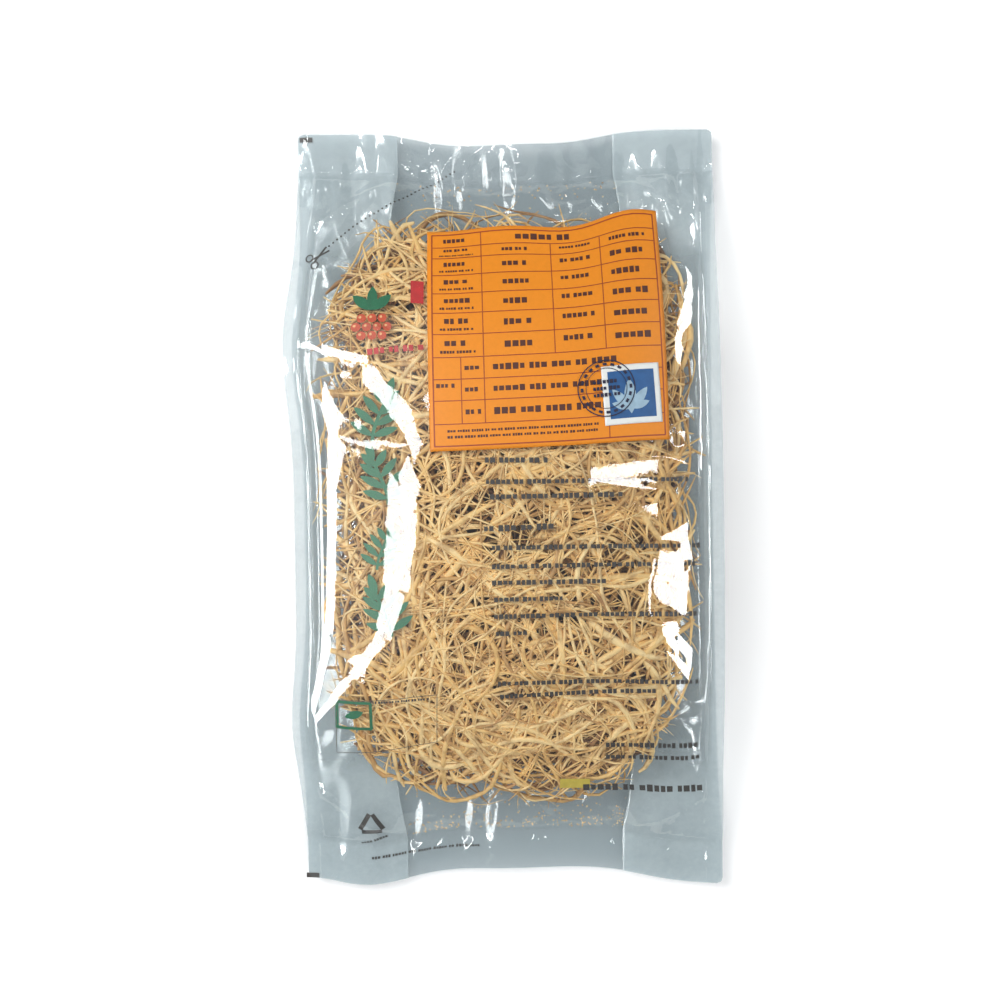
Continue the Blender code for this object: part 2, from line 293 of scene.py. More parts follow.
def corners_of(mesh):
    corners = np.zeros(len(mesh.vertices) * 3)
    mesh.vertices.foreach_get("co", corners)
    return corners.reshape(-1, 3)


def new_grid(name, columns, rows):
    """A flat grid from -1 to 1 both ways, and its corners as two arrays."""
    deselect_all()
    bpy.ops.mesh.primitive_grid_add(x_subdivisions=columns, y_subdivisions=rows, size=2)
    grid = bpy.context.object
    grid.name = grid.data.name = name
    corners = corners_of(grid.data)
    return grid, corners[:, 0], corners[:, 1]


def move_corners(piece, points):
    piece.data.vertices.foreach_set("co", np.ascontiguousarray(points, np.float32).ravel())
    piece.data.update()
    piece.data.shade_smooth()


def paint(piece, attribute, values):
    """Stores one number per corner, which a material can read by its name."""
    layer = piece.data.attributes.new(attribute, "FLOAT", "POINT")
    layer.data.foreach_set("value", np.ascontiguousarray(values, np.float32))


def haze(x, s, over_gusset):
    """How milky a film looks: clear over the roots, cloudy where plies are welded."""
    welded = smooth(SEAM_S - 0.003, SEAM_S + 0.001, np.abs(s))
    welded = np.maximum(welded, smooth(SEAM_X - 0.001, SEAM_X + 0.001, np.abs(x)))
    empty = 0.18 * smooth(0.138, 0.150, np.abs(s))
    return np.clip(0.25 + np.maximum(0.75 * welded, empty) + over_gusset, 0, 1)


# %% The front, the back and the two gussets
CORNER_RADIUS = 0.003


def round_corners(x, s):
    """Draws the four corners of a film in to an arc."""
    a = np.abs(x) - (HALF_WIDTH - CORNER_RADIUS)
    b = np.abs(s) - (HALF_LENGTH - CORNER_RADIUS)
    at_corner = (a > 0) & (b > 0)
    a, b = np.where(at_corner, a, 1.0), np.where(at_corner, b, 1.0)
    shrink = np.maximum(a, b) / np.hypot(a, b) - 1
    x = x + np.where(at_corner, np.sign(x) * a * shrink, 0.0)
    s = s + np.where(at_corner, np.sign(s) * b * shrink, 0.0)
    return x, s


def back_surface(x, s):
    return back_height(x, s) + ripples(x, s)


def build_panel(name, columns, rows, surface):
    film, u, v = new_grid(name, columns, rows)
    x, s = round_corners(u * HALF_WIDTH, v * HALF_LENGTH)
    move_corners(film, place(x, s, surface(x, s)))
    paint(film, "haze", haze(x, s, 0.0))
    return film


GUSSET_FREE = 0.88
GUSSET_FOLD = 0.02


def build_gusset(name, side):
    """A grid folded once lengthways. The outer 12 percent of each leaf lies in the side seal."""
    film, u, v = new_grid(name, 64, 220)
    u, s = np.sign(u) * np.abs(u) ** 1.5, v * HALF_LENGTH
    out = np.abs(u) / GUSSET_FREE
    inner = crease_x(s) + (SEAM_X - crease_x(s)) * np.minimum(out, 1.0)
    sealed = np.clip((np.abs(u) - GUSSET_FREE) / 0.12, 0.0, 1.0)
    x = inner + (HALF_WIDTH - SEAM_X) * sealed
    leaf = np.clip(u / GUSSET_FOLD, -1, 1)
    z = gusset_height(side * x, s, leaf) + ripples(side * x, s)
    free = np.clip(np.sin(np.pi * np.minimum(out, 1.0)), 0, 1) * edge_fullness(s)
    facets = crumple(x, s, count=7, longest=0.030, steepness=0.16, seed=5 + side)
    z = z + free * (facets - 0.0008)
    x, s = round_corners(x, s)
    move_corners(film, place(side * x, s, z))
    paint(film, "haze", haze(x, s, 0.30 + 0.45 * smooth(0.110, 0.135, np.abs(s))))
    if side < 0:
        edit_all(bpy.ops.mesh.flip_normals)
    return film


films = (
    build_panel("film_front_panel", 230, 400, front_surface),
    build_panel("film_back_panel", 100, 180, back_surface),
    build_gusset("film_gusset_left", -1),
    build_gusset("film_gusset_right", 1),
)
print("films:", {f.name: len(f.data.polygons) for f in films})

# %% [markdown]
# ## The finish of clear film
#
# A refracting glass shader would suit a thick pane, but light bent by a film this thin
# can't be seen, and it renders dark and noisy. So the film is mostly a Transparent
# shader with a faint grey-blue tint. A little Diffuse makes it milky, more where the
# haze attribute says. A Glossy shader, mixed in by Fresnel, gives the hard reflections,
# and a bump from fine noise roughens their edges. Fresnel takes the back of a face for
# the inside of solid glass and mirrors too much there, so it gets the inverse index.


# %% Nodes for materials
def start_material(name):
    material = bpy.data.materials.new(name)
    material.use_nodes = True
    material.node_tree.nodes.clear()
    return material


def node(material, kind, inputs=(), **settings):
    """Adds a node, sets its options, and sets or links its inputs by name or number."""
    made = material.node_tree.nodes.new(kind)
    for name, value in settings.items():
        setattr(made, name, value)
    for name, value in dict(inputs).items():
        if isinstance(value, bpy.types.NodeSocket):
            material.node_tree.links.new(value, made.inputs[name])
        else:
            made.inputs[name].default_value = value
    return made


def ramp(material, factor, stops):
    made = node(material, "ShaderNodeValToRGB", {"Fac": factor})
    points = made.color_ramp.elements
    while len(points) < len(stops):
        points.new(0.5)
    for point, (position, colour) in zip(points, stops):
        point.position = position
        point.color = (*colour, 1.0)
    return made.outputs["Color"]


def object_noise(material, scale, detail=3.0, roughness=0.55):
    at = node(material, "ShaderNodeTexCoord").outputs["Object"]
    inputs = {"Vector": at, "Scale": scale, "Detail": detail, "Roughness": roughness}
    return node(material, "ShaderNodeTexNoise", inputs).outputs["Fac"]


def bumped(material, height, strength, distance):
    inputs = {"Height": height, "Strength": strength, "Distance": distance}
    return node(material, "ShaderNodeBump", inputs).outputs[0]


def end_material(material, shader):
    node(material, "ShaderNodeOutputMaterial", {"Surface": shader.outputs[0]})
    return material


def solid_finish(material, colour, roughness, specular, **more):
    """Ends the material of anything that isn't film with a Principled shader."""
    inputs = {"Base Color": colour, "Roughness": roughness, "Specular IOR Level": specular, **more}
    return end_material(material, node(material, "ShaderNodeBsdfPrincipled", inputs))


# %% Film finishes
FILM_IOR = 1.5
MILK = (0.71, 0.79, 0.82)


def film_finish(name, tint, clearest, cloudiest, gloss):
    """Tint is the colour of light that comes through, gloss the roughness of what it mirrors."""
    material = start_material(name)

    def mixed(factor, first, second):
        parts = {0: factor.outputs[0], 1: first.outputs[0], 2: second.outputs[0]}
        return node(material, "ShaderNodeMixShader", parts)

    def mapped(value, **ends):
        ends = {end.replace("_", " "): number for end, number in ends.items()}
        return node(material, "ShaderNodeMapRange", {"Value": value, **ends})

    cloud = node(material, "ShaderNodeAttribute", attribute_name="haze").outputs["Fac"]
    patches = object_noise(material, 45.0, detail=8.0, roughness=0.8)
    uneven = mapped(patches, To_Min=0.30, To_Max=0.70)
    cloudy = node(material, "ShaderNodeMath", {0: cloud, 1: uneven.outputs[0]}, operation="MULTIPLY")
    amount = mapped(cloudy.outputs[0], From_Min=0.1, From_Max=0.6, To_Min=clearest, To_Max=cloudiest)
    crinkle = object_noise(material, 190.0, detail=2.0, roughness=0.5)
    bump = bumped(material, crinkle, strength=0.03, distance=0.0006)
    clear = node(material, "ShaderNodeBsdfTransparent", {"Color": (*tint, 1)})
    milk = node(material, "ShaderNodeBsdfDiffuse", {"Color": (*MILK, 1)})
    shine = node(material, "ShaderNodeBsdfAnisotropic", {"Roughness": gloss, "Normal": bump})
    behind = node(material, "ShaderNodeNewGeometry").outputs["Backfacing"]
    index = mapped(behind, To_Min=FILM_IOR, To_Max=1 / FILM_IOR)
    edge = node(material, "ShaderNodeFresnel", {"IOR": index.outputs[0], "Normal": bump})
    return end_material(material, mixed(edge, mixed(amount, clear, milk), shine))


def dress(piece, material):
    piece.data.materials.clear()
    piece.data.materials.append(material)


FRONT_TINT, BACK_TINT, GUSSET_TINT = (0.93, 0.95, 0.95), (0.50, 0.55, 0.57), (0.92, 0.94, 0.94)
front_finish = film_finish("front_film", FRONT_TINT, clearest=0.02, cloudiest=0.07, gloss=0.03)
back_finish = film_finish("back_film", BACK_TINT, clearest=0.03, cloudiest=0.10, gloss=0.08)
gusset_finish = film_finish("gusset_film", GUSSET_TINT, clearest=0.05, cloudiest=0.52, gloss=0.08)
film_nodes = ("film_front", "film_back", "gusset_left", "gusset_right")
film_finishes = (front_finish, back_finish, gusset_finish, gusset_finish)
for piece, cad_node, finish in zip(films, film_nodes, film_finishes):
    dress(piece, finish)
    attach(piece, "root")
    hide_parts(cad_node)

# %% [markdown]
# ## The roots
#
# Fine roots are trimmed off whole ginseng roots and dried straight away, so each is a
# bent, tapering thread, and some keep side roots. Hair or particles could make thousands
# of them, but leave no mesh. Here every root is a curve with a round bevel, whose radius
# tapers to its tip, and the curves are converted to a mesh. Their paths are drawn
# together in arrays: each root wanders in plan, ends or turns back at the edge of the
# bed, and weaves up and down at its own depth below the film.

# %% Where a root may lie
BED_HALF_LENGTH = 0.142
BED_HALF_WIDTH = 0.0895
STRAY = 0.011
CLEAR_OF_FILM = 0.0014
CLEAR_OF_GUSSET = 0.0016
REACH = 0.0015


def bed_half_width(x, s):
    """Half the width of the bed on the side of x. Its lower right corner is the emptiest."""
    t = np.clip(np.abs(s) / (BED_HALF_LENGTH + STRAY + 0.001), 0.0, 0.999)
    sharp = np.where(s > 0, 6.0, np.where(x > 0, 3.2, 5.0))
    soft = np.where(s > 0, 0.6, np.where(x > 0, 0.5, 0.8))
    return BED_HALF_WIDTH * (1 - t**sharp) ** soft


def room(x, s, over_gusset):
    """The lowest and highest place for a root's skin: above the gusset, under it or free."""
    x, s = x + REACH * np.sign(x), s + REACH * np.sign(s)
    top = front_height(x, s) - CLEAR_OF_FILM
    bottom = back_height(x, s) + CLEAR_OF_FILM
    beside = smooth(-0.004, 0.001, np.abs(x) - crease_x(s))
    upper_leaf = gusset_height(x, s, 1.0) + CLEAR_OF_GUSSET
    lower_leaf = gusset_height(x, s, -1.0) - CLEAR_OF_GUSSET
    low = np.where(over_gusset > 0, bottom + beside * (upper_leaf - bottom), bottom)
    high = np.where(over_gusset < 0, top + beside * (lower_leaf - top), top)
    return low, high


# %% Drawing many paths at once
SHORTEST = 6
TURNING_BACK = 0.08
NEAR_EDGE = 0.78


def wander(x, s, heading, steps, step, restless, spread):
    """Paths as arrays of roots by steps, and how many points of its path each root has."""
    count = len(x)
    bend = rng.normal(0, 16, count)
    sway, beat = rng.uniform(8, 56, count), rng.uniform(0.2, 0.6, count)
    phase = rng.uniform(0, 2 * np.pi, count)
    limit = spread * (1.03 - 0.24 * rng.random(count))
    widest = np.minimum(limit, spread)
    turns_back = rng.random(count) < TURNING_BACK
    lengths = np.full(count, steps)
    far = limit * (BED_HALF_LENGTH + STRAY)
    xs, ss = [x], [s]
    for n in range(1, steps):
        jitter = rng.normal(0, restless, count)
        heading = heading + step * (bend + sway * np.sin(n * beat + phase)) + jitter
        reach = np.maximum(np.abs(x) / (widest * bed_half_width(x, s)), np.abs(s) / far)
        home = np.arctan2(-s * 0.6, -x)
        turn = (home - heading + np.pi) % (2 * np.pi) - np.pi
        homesick = np.clip((reach - NEAR_EDGE) * 1.6, 0, 0.6)
        heading = heading + turn * homesick * (turns_back | (n < SHORTEST))
        x, s = x + step * np.cos(heading), s + step * np.sin(heading)
        edge = bed_half_width(x, s) * widest
        outside = (np.abs(x) > edge) | (np.abs(s) > far)
        ends_here = outside & (lengths == steps) & ~turns_back & (n >= SHORTEST)
        lengths = np.where(ends_here, n, lengths)
        x, s = np.clip(x, -edge, edge), np.clip(s, -far, far)
        xs.append(x)
        ss.append(s)
    return np.stack(xs, 1), np.stack(ss, 1), lengths


def thread_radii(lengths, steps, thickest, tip):
    """Radii that swell a little here and there and taper to a thin tip."""
    along = np.minimum(np.arange(steps) / (lengths[:, None] - 1), 1.0)
    taper = 1 - (1 - tip) * along**1.3
    knots = 1 + 0.13 * rng.normal(0, 1, (len(lengths), steps))
    ends = np.clip(np.minimum(along, 1 - along) * 14 + 0.45, 0, 1)
    return thickest[:, None] * taper * np.clip(knots, 0.7, 1.35) * ends


def lay(x, s, radii, depth, weave, over_gusset):
    """Gives paths their height: a depth below the film or above the back, woven up and down."""
    count, steps = x.shape
    beat, phase = rng.uniform(0.35, 1.1, (count, 1)), rng.uniform(0, 2 * np.pi, (count, 1))
    weaving = weave * np.sin(np.arange(steps) * beat + phase)
    low, high = room(x, s, over_gusset[:, None])
    low, high = low + radii, high - radii
    below = np.maximum(depth[:, None] + weaving, 0)
    z = np.where(over_gusset[:, None] >= 0, high - below, low + below)
    z = np.where(high > low, np.clip(z, low, high), (low + high) / 2)
    return place(x, s, z)


# %% Turning paths into solid roots
def grow(name, bundles, sides):
    """One mesh from bundles of paths, radii and lengths: bevelled curves with closed ends."""
    curve = bpy.data.curves.new(name, "CURVE")
    curve.dimensions = "3D"
    curve.bevel_depth = 1.0
    curve.bevel_resolution = (sides - 4) // 2
    curve.use_fill_caps = True
    for paths, radii, lengths in bundles:
        for path, thickness, length in zip(paths, radii, lengths):
            thread = curve.splines.new("POLY")
            thread.points.add(int(length) - 1)
            places = np.column_stack([path, np.ones(len(path))])[:length]
            thread.points.foreach_set("co", places.ravel())
            thread.points.foreach_set("radius", thickness[:length])
            thread.use_smooth = True
    roots = add_object(name, curve)
    deselect_all()
    bpy.context.view_layer.objects.active = roots
    roots.select_set(True)
    bpy.ops.object.convert(target="MESH")
    roots = bpy.context.object
    roots.data.name = name
    return roots


def bundle(count, steps, step, thickness, depth, weave, level, spread):
    """A bundle of seeded roots. Level is 1 above the gussets, -1 below them."""
    s = rng.uniform(-1, 1, count) * BED_HALF_LENGTH * 0.98
    x = rng.uniform(-1, 1, count)
    x, s = x * bed_half_width(x, s) * spread, s * spread
    heading = rng.uniform(0, 2 * np.pi, count)
    x, s, lengths = wander(x, s, heading, steps, step, restless=0.08, spread=spread)
    radii = thread_radii(lengths, steps, rng.uniform(*thickness, count), tip=0.28)
    side = np.full(count, level)
    return x, s, radii, lengths, lay(x, s, radii, rng.uniform(*depth, count), weave, side)


def side_roots(parents, count, steps, step, thickness, level, spread):
    """Thinner roots that leave a parent root part of the way along it."""
    x, s, radii, lengths, paths = parents
    chosen = rng.integers(0, len(x), count)
    at = rng.integers(2, lengths[chosen] - 3)
    start_x, start_s = x[chosen, at], s[chosen, at]
    along = np.arctan2(s[chosen, at + 1] - start_s, x[chosen, at + 1] - start_x)
    heading = along + rng.choice([-1, 1], count) * rng.uniform(0.4, 1.0, count)
    x, s, lengths = wander(start_x, start_s, heading, steps, step, restless=0.12, spread=spread)
    radii = thread_radii(lengths, steps, rng.uniform(*thickness, count), tip=0.3)
    side = np.full(count, level)
    laid = lay(x, s, radii, np.zeros(count), 0.0, side)
    drop = paths[chosen, at, 2] - laid[:, 0, 2]
    settle = np.linspace(1, 0.35, steps)
    laid[:, :, 2] += drop[:, None] * settle
    low, high = room(x, s, side[:, None])
    laid[:, :, 2] = np.clip(laid[:, :, 2], np.minimum(low + radii, high - radii), high - radii)
    return laid, radii, lengths


# %% The layers of the bed
roots_made = []


def layer(name, count, steps, step, thickness, depth, weave, level, branches, sides, spread):
    """A bundle with its side roots. Spread is how much of the bed it reaches over."""
    stems = bundle(count, steps, step, thickness, depth, weave, level, spread)
    bundles = [(stems[4], stems[2], stems[3])]
    if branches:
        thin = (thickness[0] * 0.6, thickness[1] * 0.65)
        bundles.append(side_roots(stems, branches, 8, step * 0.8, thin, level, spread))
    roots = grow(name, bundles, sides)
    roots_made.append(roots)
    print(name, count + branches, "roots,", len(roots.data.polygons), "faces")


# Name, roots, points, step, radii, depth, weave, level, side roots, sides, spread.
LAYERS = [
    ("roots_thick", 80, 20, 0.0055, (0.0014, 0.0022), (0.0, 0.003), 0.0012, 1, 130, 8, 1.0),
    ("roots_top_a", 230, 28, 0.0050, (0.0009, 0.0014), (0.0, 0.002), 0.0008, 1, 260, 6, 1.0),
    ("roots_top_b", 380, 22, 0.0052, (0.0007, 0.0013), (0.003, 0.009), 0.0018, 1, 260, 6, 1.0),
    ("roots_fine", 480, 24, 0.0045, (0.0004, 0.0006), (0.0, 0.005), 0.0015, 1, 0, 4, 1.03),
    ("roots_middle", 620, 14, 0.0075, (0.0009, 0.0017), (0.009, 0.020), 0.0030, 1, 0, 6, 0.90),
    ("roots_under_a", 500, 16, 0.0060, (0.0008, 0.0015), (0.0, 0.005), 0.0020, -1, 160, 6, 0.96),
    ("roots_under_b", 380, 14, 0.0070, (0.0009, 0.0017), (0.003, 0.014), 0.0026, -1, 0, 6, 0.88),
]
for row in LAYERS:
    layer(*row)


# %% Crumbs of root that have gathered at the two ends of the bag
def crumbs(count):
    """Small eight-sided chips that lie on the back film, most of them near the bottom seal."""
    end = np.where(rng.random(count) < 0.75, -1, 1)
    s = end * (SEAM_S - 0.001 - np.minimum(rng.exponential(0.007, count), 0.03))
    x = rng.uniform(-1, 1, count) * 0.070
    size = rng.uniform(0.00015, 0.00042, count)
    z = back_surface(x, s) + FILM / 2 + 0.6 * size
    middles = place(x, s, z)
    chip = np.array([(1, 0, 0), (0, 1, 0), (-1, 0, 0), (0, -1, 0), (0, 0, 0.6), (0, 0, -0.6)])
    sides = [(0, 1, 4), (1, 2, 4), (2, 3, 4), (3, 0, 4), (1, 0, 5), (2, 1, 5), (3, 2, 5), (0, 3, 5)]
    turn = rng.uniform(0, np.pi, count)
    points, faces = [], []
    for n in range(count):
        c, d = math.cos(turn[n]), math.sin(turn[n])
        spin = np.array([(c, -d, 0), (d, c, 0), (0, 0, 1)]) * np.array([1.6, 1.0, 1.0])
        faces += [tuple(6 * n + k for k in side) for side in sides]
        points += (middles[n] + size[n] * chip @ spin.T).tolist()
    mesh = bpy.data.meshes.new("root_crumbs")
    mesh.from_pydata(points, [], faces)
    roots_made.append(add_object("root_crumbs", mesh))
    print("root_crumbs:", len(faces), "faces")


crumbs(520)


# %% [markdown]
# Deep in the bag the roots are packed so close that no light comes through. A kernel
# stands for them, and its dark colour is painted shade. It is a cube, subdivided and rounded by a Cast
# modifier, whose corners are then spread through the bed, well below the roots that can be seen.


# %% The kernel of the bed
KERNEL_DEPTH = 0.013
KERNEL_LIFT = 0.008


def build_kernel():
    deselect_all()
    bpy.ops.mesh.primitive_cube_add(size=2)
    kernel = bpy.context.object
    kernel.name = kernel.data.name = "roots_kernel"
    edit_all(bpy.ops.mesh.subdivide, number_cuts=15)
    rounding = kernel.modifiers.new("rounding", "CAST")
    rounding.factor = 0.45
    bpy.ops.object.modifier_apply(modifier=rounding.name)
    corners = corners_of(kernel.data)
    u, v, w = (corners / np.abs(corners).max()).T
    s = v * (BED_HALF_LENGTH - 0.012)
    x = u * (crease_x(s) - 0.004)
    high = front_height(x, s) - CLEAR_OF_FILM - KERNEL_DEPTH
    low = back_height(x, s) + CLEAR_OF_FILM + KERNEL_LIFT
    high = np.maximum(high, low + 0.002)
    move_corners(kernel, place(x, s, low + (high - low) * (w + 1) / 2))
    return kernel


kernel = build_kernel()
roots_made.append(kernel)
print("kernel:", len(kernel.data.polygons), "faces")

# %% [markdown]
# ## The finish of dried root
#
# Each root has its own tone, from straw to tan, with some browner ones. The curve was
# converted to one mesh of many islands, and Geometry's Random Per Island gives each
# island a number, which a Color Ramp turns into a tone. Noise mottles it, and finer
# noise gives the dry, wrinkled skin as a bump. Deeper layers are browner and darker,
# which is painted shade for the light that the roots above them take.


# %% Root skin
MOTTLING = 0.85


def root_finish(name, tones, skin_scale):
    material = start_material(name)
    chance = node(material, "ShaderNodeNewGeometry").outputs["Random Per Island"]
    tone = ramp(material, chance, tones)
    patches = [(0.32, (0.62, 0.52, 0.42)), (0.52, (1, 1, 1)), (0.75, (1.12, 1.1, 1.02))]
    mottle = ramp(material, object_noise(material, 160.0), patches)
    both = {0: MOTTLING, "A": tone, "B": mottle}
    skin = node(material, "ShaderNodeMix", both, data_type="RGBA", blend_type="MULTIPLY")
    wrinkle = object_noise(material, skin_scale, roughness=0.65)
    bump = bumped(material, wrinkle, strength=0.55, distance=0.0005)
    colour = skin.outputs["Result"]
    return solid_finish(material, colour, roughness=0.62, specular=0.35, Normal=bump)


STRAW = (0.84, 0.51, 0.165)
PALE = (0.98, 0.72, 0.35)
TAN = (0.52, 0.27, 0.085)
BROWN = (0.22, 0.115, 0.062)
DARK_SHADE = (0.11, 0.058, 0.036)
pale_root = root_finish(
    "pale_root", [(0.0, TAN), (0.12, STRAW), (0.45, PALE), (0.8, STRAW), (1.0, PALE)], 900.0
)
# The tan and deep materials mix the roots' own browner tones with painted shade for roots lower in the
# bed.
tan_root_and_shade = root_finish("tan_root_and_shade", [(0.0, BROWN), (0.55, TAN), (0.95, STRAW), (1.0, STRAW)], 900.0)
deep_root_painted_shade = root_finish("deep_root_painted_shade", [(0.0, DARK_SHADE), (0.6, BROWN), (1.0, TAN)], 700.0)
# The kernel's dark colour is painted shade for the deep roots that lie in shadow.
kernel_painted_shade = root_finish("kernel_painted_shade", [(0.0, DARK_SHADE), (1.0, DARK_SHADE)], 260.0)

for roots in roots_made:
    if roots.name in ("roots_thick", "roots_top_a", "roots_fine", "root_crumbs"):
        dress(roots, pale_root)
    # The layers below the top ones wear the darker materials as painted shade.
    elif roots.name in ("roots_top_b", "roots_under_a"):
        dress(roots, tan_root_and_shade)
    else:
        dress(roots, kernel_painted_shade if roots is kernel else deep_root_painted_shade)
    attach(roots, "root")
    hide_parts("root_tangle")

# %% [markdown]
# ## The camera
#
# The photograph looks straight down, and the bag lies turned by less than a degree.
# The camera comes before the printing, because marks and lamps are placed by pixels of
# the picture: a pixel is followed down its line of sight to the film.

# %% Camera
PHOTO_SIZE = 1000
CAMERA_HEIGHT = 0.65
RIM_HEIGHT = 0.007
PIXELS_PER_METRE = 2065
BAG_CENTRE_PIXEL = (510.2, 509.0)
ROLL = math.radians(-0.85)
SENSOR = 36.0

focal_pixels = PIXELS_PER_METRE * (CAMERA_HEIGHT - RIM_HEIGHT)
camera_data = bpy.data.cameras.new("camera")
camera_data.sensor_width = SENSOR
camera_data.lens = SENSOR * focal_pixels / PHOTO_SIZE
camera = add_object("camera", camera_data)
right = np.array([math.cos(ROLL), math.sin(ROLL)])
up = np.array([-math.sin(ROLL), math.cos(ROLL)])
offset = (np.array(BAG_CENTRE_PIXEL) - PHOTO_SIZE / 2) * CAMERA_HEIGHT / focal_pixels
camera.location = (*(-offset[0] * right + offset[1] * up), CAMERA_HEIGHT)
camera.rotation_euler = (0, 0, ROLL)
bpy.context.scene.camera = camera
print("lens", round(camera_data.lens, 1), "mm, at", [round(c, 4) for c in camera.location])


# %% From a pixel to the film
FIRST_GUESS = 0.03


def on_film(px, py):
    """The x and s of the place on the front film that the photograph shows at a pixel."""
    sight = ((px - PHOTO_SIZE / 2) * right + (PHOTO_SIZE / 2 - py) * up) / focal_pixels
    z = FIRST_GUESS
    for _ in range(12):
        x, y = np.array(camera.location[:2]) + sight * (CAMERA_HEIGHT - z)
        across, s = x, y
        for _ in range(3):
            x = across - float(swelling(x, s))
            s = y / (1 - float(drawn_in(x, s)) / HALF_LENGTH)
        z = float(front_height(x, s))
    return x, s


print("pixel", BAG_CENTRE_PIXEL, "is on the film at", np.round(on_film(*BAG_CENTRE_PIXEL), 4))

# %% [markdown]
# ## The label and the stamp
#
# Both are paper, stuck to the film, so they follow its dome. A flat sheet shrinkwrapped
# onto the film would lose its size, so each starts as a grid of its real size, and every
# corner is laid along the film. Solidify then gives the paper its thickness.

# %% Laying flat things on the film
LABEL_GAP = 0.0008
LABEL_WAVE = 0.0018
LABEL_RISE = 0.0016
LABEL_LEAN = 0.0022
LABEL_DRAWN = 0.975
STAMP_SIZE = (0.0265, 0.0270)
STAMP_CENTRE = (0.0548, 0.0515)
STAMP_TURN = math.radians(3.0)
STAMP_GAP = LABEL_GAP + 0.0004
PAPER = 0.00015
NORMAL_STEP = 1e-4


def on_front(x, s, height, surface=front_height, step=NORMAL_STEP):
    """Points at a height above the front film, along its own normal."""
    at = place(x, s, surface(x, s))
    along_x = place(x + step, s, surface(x + step, s)) - at
    along_s = place(x, s + step, surface(x, s + step)) - at
    normal = np.cross(along_x, along_s)
    normal = normal / np.linalg.norm(normal, axis=-1, keepdims=True)
    return at + np.asarray(height)[..., None] * normal


def turned(u, v, centre, turn):
    """Flat coordinates turned about their origin, and moved to a centre."""
    x = centre[0] + u * math.cos(turn) - v * math.sin(turn)
    s = centre[1] + u * math.sin(turn) + v * math.cos(turn)
    return x, s


def on_label(u, v):
    """The label's top edge rises to the right in three ripples, which fade out down the label."""
    t = np.clip(np.asarray(u) / LABEL_SIZE[0] + 0.5, 0, 1)
    fade = np.clip(2 * np.asarray(v) / LABEL_SIZE[1], 0, 1) ** 1.5
    wave = LABEL_WAVE * np.sin(3 * np.pi * t**1.5) + LABEL_RISE * (2 * t - 1)
    lean = LABEL_LEAN * (np.asarray(v) / LABEL_SIZE[1] + 0.5)
    return turned(u + lean, LABEL_DRAWN * v + wave * fade, LABEL_CENTRE, LABEL_TURN)


def on_stamp(u, v):
    return turned(u, v, STAMP_CENTRE, STAMP_TURN)


def paper(name, size, to_film, height, cells):
    sticker, u, v = new_grid(name, cells, cells)
    x, s = to_film(u * size[0] / 2, v * size[1] / 2)
    move_corners(sticker, on_front(x, s, height))
    wall = sticker.modifiers.new("paper", "SOLIDIFY")
    wall.thickness = PAPER
    bpy.ops.object.modifier_apply(modifier=wall.name)
    return sticker


label = paper("label_paper", LABEL_SIZE, on_label, LABEL_GAP, 60)
stamp = paper("stamp_paper", STAMP_SIZE, on_stamp, STAMP_GAP, 24)
print("label", len(label.data.polygons), "and stamp", len(stamp.data.polygons), "faces")


# %% Paper finishes
def paper_finish(name, colour, grain, roughness):
    material = start_material(name)
    fibre = object_noise(material, 420.0, detail=4.0, roughness=0.7)
    tone = ramp(material, fibre, [(0.3, tuple(c * grain for c in colour)), (0.7, colour)])
    bump = bumped(material, fibre, strength=0.08, distance=0.0002)
    return solid_finish(material, tone, roughness, specular=0.2, Normal=bump)


ORANGE, OFF_WHITE = (0.80, 0.255, 0.009), (0.80, 0.82, 0.79)
dress(label, paper_finish("orange_paper", ORANGE, grain=0.93, roughness=0.55))
dress(stamp, paper_finish("white_paper", OFF_WHITE, grain=0.95, roughness=0.5))
papers = ((label, "label", "label_paper"), (stamp, "inspection_stamp", "stamp_paper"))
for piece, cad_node, slot in papers:
    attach(piece, "root")
    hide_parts(cad_node)

# %% [markdown]
# ## Printing
#
# A printed bag needs ink. This one has plain blocks, dots and frames, a green leaf motif
# and a bunch of berries. Ink could be painted in the film's material, but as thin pieces
# the marks stay sharp and keep their own colours. They are drawn flat as small polygons,
# sliced on a grid so that they can bend, and laid on the label or just under the film,
# because clear film is printed on its inner face and its gloss lies over the ink.

# %% Drawing marks as polygons
def bar(x, y, width, height, turn=0.0):
    """One filled rectangle about its middle."""
    w, h = width / 2, height / 2
    corners = [(-w, -h), (w, -h), (w, h), (-w, h)]
    return [[turned(a, b, (x, y), turn) for a, b in corners]]


def disc(x, y, radius, corners=14):
    turns = [2 * math.pi * k / corners for k in range(corners)]
    return [[(x + radius * math.cos(turn), y + radius * math.sin(turn)) for turn in turns]]


def stroke(points, width, closed=False):
    """A line of a width through points, as one quad for each stretch."""
    marks = []
    ends = points[1:] + points[:1] if closed else points[1:]
    for (x0, y0), (x1, y1) in zip(points, ends):
        length = math.hypot(x1 - x0, y1 - y0) + 0.3 * width
        turn = math.atan2(y1 - y0, x1 - x0)
        marks += bar((x0 + x1) / 2, (y0 + y1) / 2, length, width, turn)
    return marks


def ring(x, y, radius, width, corners=48):
    return stroke(disc(x, y, radius, corners)[0], width, closed=True)


def frame_box(x, y, width, height, line):
    return stroke(bar(x, y, width, height)[0], line, closed=True)


def leaf(x, y, length, width, turn):
    """A pointed leaf that starts at a point and reaches out in one direction."""
    points = []
    for k in range(9):
        t = k / 8
        points.append((length * t, width / 2 * math.sin(math.pi * t) ** 0.8))
    points += [(a, -b) for a, b in points[-2:0:-1]]
    return [[turned(a, b, (x, y), turn) for a, b in points]]


# %% Laying marks on the bag
SLICE = 0.005


